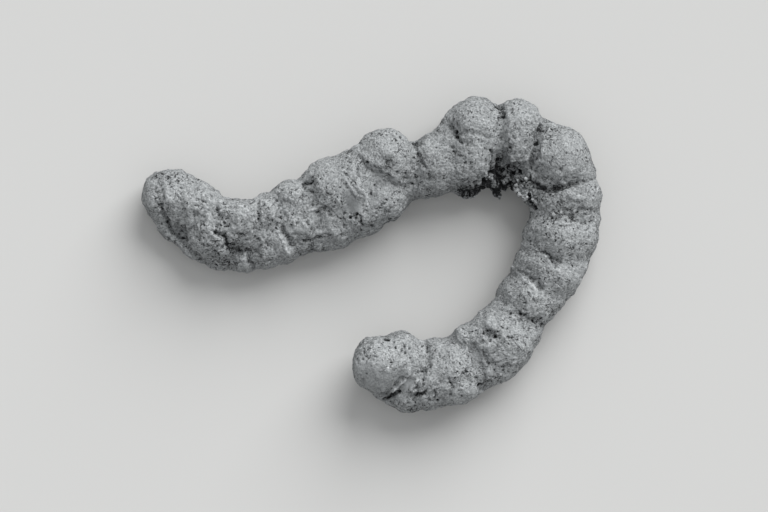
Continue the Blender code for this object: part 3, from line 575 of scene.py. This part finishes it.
def stick_grains(piece):
    """Adds the grains of the inner bend to the mesh as small uneven blocks."""
    mesh = bmesh.new()
    mesh.from_mesh(piece.data)
    for index, (x, y, z, long, wide, turn) in enumerate(GRAINS):
        stance = Matrix.Rotation(np.radians(turn), 4, "Z") @ Matrix.Rotation(index * GRAIN_ROLL, 4, "X")
        shape = Matrix.Diagonal((long, wide, (long + wide) / 2, 1.0))
        place = Matrix.Translation((x, y, z)) @ stance @ shape
        for vertex in bmesh.ops.create_cube(mesh, size=GRAIN_SIDE, matrix=place)["verts"]:
            vertex.co += GRAIN_UNEVENNESS * noise.noise_vector(vertex.co * GRAIN_WAVES)
    mesh.to_mesh(piece.data)
    mesh.free()


def plates(spots):
    """Tells how smooth the plates are at every x, y spot."""
    smooth = np.zeros(len(spots))
    for plate in PLATES:
        near = np.clip(PLATE_FLATNESS * fade_from(spots, plate), 0.0, 1.0)
        smooth = np.maximum(smooth, plate.amount * near)
    return smooth


def pits(points, rough, smooth):
    """Returns the depth of the clustered pits at every point, as a share of their full depth."""
    jitter = PIT_JITTER * np.stack(
        [waves(points, PIT_JITTER_SPACING, shift) for shift in PIT_JITTER_SHIFTS], axis=1
    )
    middles = np.array([noise.voronoi(Vector(place))[0][0] for place in points / PIT_SPACING + jitter])
    clusters = waves(points, CLUSTER_SPACING, CLUSTER_SHIFT) * CLUSTER_CONTRAST
    clusters = np.clip(clusters + CLUSTER_ROUGHNESS * rough - CLUSTER_LOSS, 0.0, DEEPEST_CLUSTER)
    return np.clip(1.0 - middles / PIT_SHARE, 0.0, 1.0) * clusters * (1.0 - smooth)


def broken_blocks(points):
    """Breaks space into tilted blocks, and returns each point's height, tint and distance to a joint."""
    rows = []
    for point in points / RUBBLE_SPACING:
        gaps, middles = noise.voronoi(Vector(point))
        step = noise.noise(middles[0] * STEP_STRIDE)
        tilt = noise.noise_vector(middles[0] * TILT_STRIDE)
        height = BLOCK_STEP * step + BLOCK_TILT * tilt.dot(Vector(point) - middles[0])
        rows.append((height, tilt[0], gaps[1] - gaps[0]))
    return np.array(rows).T


def hollows(data, points, normals):
    """Tells how far each point lies beneath the skin around it: below 0 on edges and bumps."""
    near = np.einsum("ij,ij->i", blur(points, data, NEAR_BLUR) - points, normals)
    wide = np.einsum("ij,ij->i", blur(points, data, WIDE_BLUR) - points, normals)
    return np.clip(near / NEAR_DEPTH, -1.0, 1.0) + WIDE_SHARE * np.clip(wide / WIDE_DEPTH, -1.0, 1.0)


def carve(piece):
    """Works all marks, lumps, pits and rubble into the skin, and notes on it what the material reads."""
    data = piece.data
    points = read(data.vertices, "co")
    normals = read(data.vertex_normals, "vector")
    wander = WANDER * np.stack([waves(points, WANDER_SPACING, shift) for shift in WANDER_SHIFTS], axis=1)
    straight = points[:, :2]
    spots = straight + wander
    upward = np.clip(normals[:, 2] * MARK_FALLOFF, 0.0, 1.0)
    smooth = plates(spots) * upward
    rough = np.clip(1.0 + from_spots(spots, ROUGH_PLACES), *ROUGHNESS_LIMITS)
    rubble = np.clip(from_spots(spots, RUBBLE_PLACES), 0.0, 1.0)

    ridges = from_lines(spots, RIDGES)
    creases = from_lines(spots, CREASES)
    holes = from_spots(straight, HOLES)
    raised = ridges + from_lines(spots, FILLS) + from_spots(spots, KNOBS)
    push = (raised - np.maximum(creases, holes)) * upward
    for index, (spacing, height) in enumerate(LUMPS):
        lumps = waves(points, spacing, index * LUMP_SHIFT)
        push += height * rough * (1.0 - PLATE_SMOOTHING * smooth) * lumps
    push -= PIT_DEPTH * pits(points, rough, smooth)
    heights, tints, joints = broken_blocks(points)
    gaps = np.clip(1.0 - joints / GAP_SHARE, 0.0, 1.0)
    push += rubble * (RUBBLE_HEIGHT * heights - RUBBLE_GAP * gaps)
    moved = points + push[:, None] * normals
    moved[:, 2] = np.maximum(moved[:, 2], 0.0)
    data.vertices.foreach_set("co", moved.ravel())
    data.update()

    # The shade noted for the material: painted shade in the dark places, holes, creases and on the steep
    # sides, painted light in the pale places and on ridge crests, and the rubble's dark joints and random
    # block tints.
    shade = upward * np.clip(from_spots(straight, DARK_AND_SHADED_PLACES), 0.0, DARKEST)
    shade += rubble * (GAP_DARKNESS * gaps - BLOCK_CONTRAST * tints)
    shade += upward * (HOLE_PAINTED_SHADE * holes + CREASE_PAINTED_SHADE * creases)
    shade -= upward * (from_spots(straight, PALE_AND_LIT_PLACES) + RIDGE_PAINTED_HIGHLIGHT * ridges)
    shade += SIDE_PAINTED_SHADE * np.clip(1.0 - normals[:, 2], 0.0, 1.0) ** SIDE_FALLOFF
    note(data, "hollow", hollows(data, moved, normals))
    note(data, "smooth", smooth)
    note(data, "rough", rough + rubble)
    note(data, "shade", shade)


class Nodes:
    """A short way to add and join a material's nodes."""

    def __init__(self, material):
        material.use_nodes = True
        self.tree = material.node_tree
        self.surface = self.tree.nodes["Principled BSDF"]

    def feed(self, node, inputs):
        """Joins or sets the node's inputs, by name or by number."""
        for key, value in inputs.items():
            if isinstance(value, bpy.types.NodeSocket):
                self.tree.links.new(value, node.inputs[key])
            else:
                node.inputs[key].default_value = value

    def add(self, kind, inputs=None, **settings):
        """Adds a node with its inputs and settings."""
        node = self.tree.nodes.new(kind)
        for name, value in settings.items():
            setattr(node, name, value)
        self.feed(node, inputs or {})
        return node

    def math(self, operation, *values):
        """Returns what the operation makes of the values."""
        return self.add("ShaderNodeMath", dict(enumerate(values)), operation=operation).outputs[0]

    def ramp(self, value, low, high, to_low, to_high):
        """Turns the range from low to high into another, and stops at its ends."""
        limits = {"From Min": low, "From Max": high, "To Min": to_low, "To Max": to_high}
        return self.add("ShaderNodeMapRange", {"Value": value, **limits}).outputs[0]

    def attribute(self, name):
        """Returns what was noted on the mesh under the name."""
        return self.add("ShaderNodeAttribute", attribute_name=name).outputs["Fac"]


def phosphate():
    """Grey phosphate: mottled and finely grained, with dark pores, painted shade in its hollows and painted
    highlights on its edges.
    """
    material = bpy.data.materials.new("phosphate")
    nodes = Nodes(material)
    metres = nodes.add("ShaderNodeTexCoord").outputs["Object"]
    place = nodes.add("ShaderNodeVectorMath", {0: metres, "Scale": 1 / MM}, operation="SCALE").outputs[0]

    def cloud(size, detail, roughness):
        inputs = {"Vector": place, "Scale": 1 / size, "Detail": detail, "Roughness": roughness}
        return nodes.add("ShaderNodeTexNoise", inputs).outputs["Fac"]

    hollow = nodes.attribute("hollow")
    grainy = nodes.ramp(nodes.attribute("smooth"), *GRAIN_RAMP)
    crowded = nodes.ramp(cloud(*CROWD_CLOUD), *CROWD_RAMP)
    crowded = nodes.math("ADD", crowded, nodes.math("MULTIPLY", hollow, HOLLOW_CROWDING))
    crowded = nodes.math("ADD", crowded, nodes.ramp(nodes.attribute("rough"), *ROUGH_RAMP))
    pores = nodes.ramp(nodes.math("SUBTRACT", cloud(*PORE_CLOUD), crowded), *PORE_RAMP)
    specks = nodes.ramp(nodes.math("SUBTRACT", cloud(*SPECK_CLOUD), crowded), *SPECK_RAMP)
    specks = nodes.math("MULTIPLY", specks, SPECK_DARKNESS)
    seams = nodes.math("ABSOLUTE", nodes.math("SUBTRACT", cloud(*SEAM_CLOUD), CLOUD_MIDDLE))
    seams = nodes.ramp(seams, *SEAM_RAMP)
    seams = nodes.math("MULTIPLY", seams, nodes.ramp(cloud(*SEAM_GAP_CLOUD), *SEAM_GAP_RAMP))
    dark = nodes.math("MAXIMUM", nodes.math("MAXIMUM", pores, specks), seams)
    dark = nodes.math("MULTIPLY", dark, grainy)
    fine = nodes.math("MULTIPLY", nodes.math("SUBTRACT", cloud(*FINE_CLOUD), CLOUD_MIDDLE), grainy)
    patches = nodes.math("SUBTRACT", cloud(*PATCH_CLOUD), CLOUD_MIDDLE)

    # Painted shade in the hollows and painted highlight on the edges, then grain, patches, pores and the
    # noted shade.
    tone = nodes.math("MULTIPLY_ADD", hollow, HOLLOW_SHADE_AND_EDGE_HIGHLIGHT, PLAIN_TONE)
    tone = nodes.math("MULTIPLY_ADD", fine, FINE_WEIGHT, tone)
    tone = nodes.math("MULTIPLY_ADD", patches, PATCH_WEIGHT, tone)
    tone = nodes.math("MULTIPLY_ADD", dark, PORE_WEIGHT, tone)
    tone = nodes.math("MULTIPLY_ADD", nodes.attribute("shade"), SHADE_WEIGHT, tone)
    colours = nodes.add("ShaderNodeValToRGB", {"Fac": tone})
    strip = colours.color_ramp.elements
    strip[0].color = DARK
    strip[1].color = PALE
    strip.new(MIDDLE_TONE).color = MIDDLE
    height = nodes.math("MULTIPLY_ADD", dark, RELIEF_PORES, fine)
    relief = nodes.add("ShaderNodeBump", {"Height": height, "Distance": RELIEF * MM, "Strength": 1.0})
    nodes.feed(nodes.surface, {
        "Base Color": colours.outputs["Color"],
        "Normal": relief.outputs["Normal"],
        "Roughness": STONE_ROUGHNESS,
        "Specular IOR Level": STONE_SPECULAR,
    })
    return material


def add_skin(node):
    """Builds the visible coprolite over its solid."""
    noise.seed_set(RUBBLE_SEED)
    piece = copy_of_solid(node)
    round_facets(piece)
    remesh(piece, FIRST_VOXEL, FIRST_SMOOTHING)
    stick_grains(piece)
    remesh(piece, LAST_VOXEL, LAST_SMOOTHING)
    carve(piece)
    thin_out(piece)
    piece.data.transform(Matrix.Scale(MM, 4))
    piece.data.shade_smooth()
    piece.data.materials.clear()
    piece.data.materials.append(phosphate())
    return piece


def add_floor():
    """A plain pale floor under the fossil."""
    mesh = bmesh.new()
    bmesh.ops.create_grid(mesh, x_segments=1, y_segments=1, size=FLOOR_SIZE * MM / 2)
    data = bpy.data.meshes.new("floor")
    mesh.to_mesh(data)
    mesh.free()
    paper = bpy.data.materials.new("paper")
    nodes = Nodes(paper)
    nodes.feed(nodes.surface, {"Base Color": FLOOR_COLOUR, "Roughness": FLOOR_ROUGHNESS})
    data.materials.append(paper)
    return add_object("floor", data)


def add_light():
    """One soft key light from the upper right and an even sky."""
    lamp = bpy.data.lights.new("key", "SUN")
    lamp.energy = KEY_STRENGTH
    lamp.angle = np.radians(KEY_SOFTNESS)
    azimuth = np.radians(KEY_AZIMUTH)
    height = np.radians(KEY_HEIGHT)
    towards = Vector((np.cos(azimuth) * np.cos(height), np.sin(azimuth) * np.cos(height), np.sin(height)))
    key = add_object("key", lamp)
    key.rotation_mode = "QUATERNION"
    key.rotation_quaternion = towards.to_track_quat("Z", "Y")
    world = bpy.data.worlds.new("sky")
    world.use_nodes = True
    background = world.node_tree.nodes["Background"]
    background.inputs["Color"].default_value = SKY
    background.inputs["Strength"].default_value = 1.0
    bpy.context.scene.world = world


def add_camera():
    """Looks straight down on the fossil from far off."""
    lens = bpy.data.cameras.new("camera")
    lens.lens = LENS
    lens.sensor_width = SENSOR
    lens.clip_start = VIEW_START
    lens.clip_end = VIEW_END
    camera = add_object("camera", lens)
    distance = VIEW_WIDTH * LENS / SENSOR
    camera.location = (Vector(VIEW_CENTRE) + Vector((0, 0, distance))) * MM
    bpy.context.scene.camera = camera
    bpy.context.scene.view_settings.view_transform = "Standard"


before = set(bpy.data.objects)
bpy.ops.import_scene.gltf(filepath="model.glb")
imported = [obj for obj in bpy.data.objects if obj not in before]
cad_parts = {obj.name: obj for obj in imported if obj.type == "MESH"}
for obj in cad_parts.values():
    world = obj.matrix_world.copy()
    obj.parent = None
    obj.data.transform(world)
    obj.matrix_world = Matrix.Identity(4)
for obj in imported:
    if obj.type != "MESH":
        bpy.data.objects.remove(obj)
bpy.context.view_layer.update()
skin = add_skin(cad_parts["coprolite"])
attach(skin, "root")
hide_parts("coprolite")
add_floor()
add_light()
add_camera()
